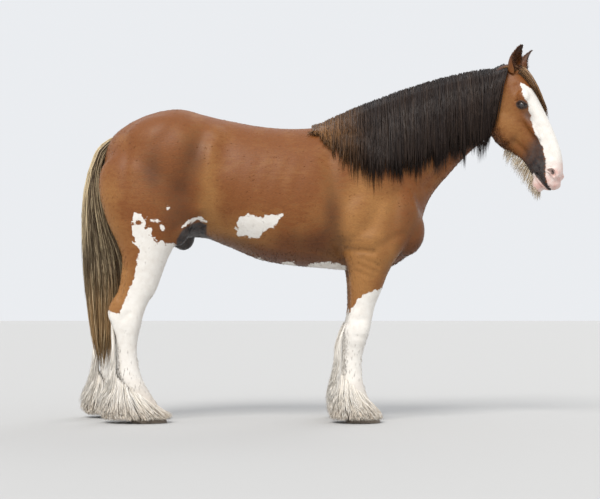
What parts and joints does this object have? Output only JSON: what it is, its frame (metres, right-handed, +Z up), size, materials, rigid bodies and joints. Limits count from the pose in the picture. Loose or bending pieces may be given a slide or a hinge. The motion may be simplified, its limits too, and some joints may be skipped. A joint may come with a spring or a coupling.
{
  "type": "clydesdale horse",
  "caption": "Life-size standing Clydesdale horse: bay with white legs and blaze, long dark mane to its right, tail and full leg feather.",
  "frame": {"origin": "middle of the whole horse's box on the floor under its hooves", "axes": "+X towards the head, +Y to the horse's left, +Z up"},
  "size_m": [2.8896, 0.6946, 2.2275],
  "materials": {
    "coat": "satin short coat",
    "white_coat": "matt short coat",
    "mane_hair": "satin hair",
    "tail_hair": "satin hair",
    "feather_hair": "matt hair",
    "beard_hair": "matt hair",
    "horn": "satin horn",
    "eye": "glossy"
  },
  "bodies": {
    "root": {"head": "coat", "neck": "coat", "torso": "coat", "forearm_right": "coat", "forearm_left": "coat", "gaskin_right": "coat", "gaskin_left": "coat", "cannon_fore_right": "white_coat", "cannon_fore_left": "white_coat", "cannon_hind_right": "white_coat", "cannon_hind_left": "white_coat", "hoof_fore_right": "horn", "hoof_fore_left": "horn", "hoof_hind_right": "horn", "hoof_hind_left": "horn", "feather_fore_right": "feather_hair", "feather_fore_left": "feather_hair", "feather_hind_right": "feather_hair", "feather_hind_left": "feather_hair", "ear_right": "coat", "ear_left": "coat", "eye_right": "eye", "eye_left": "eye", "mane": "mane_hair", "forelock": "mane_hair", "tail": "tail_hair", "beard": "beard_hair"}
  },
  "joints": []
}
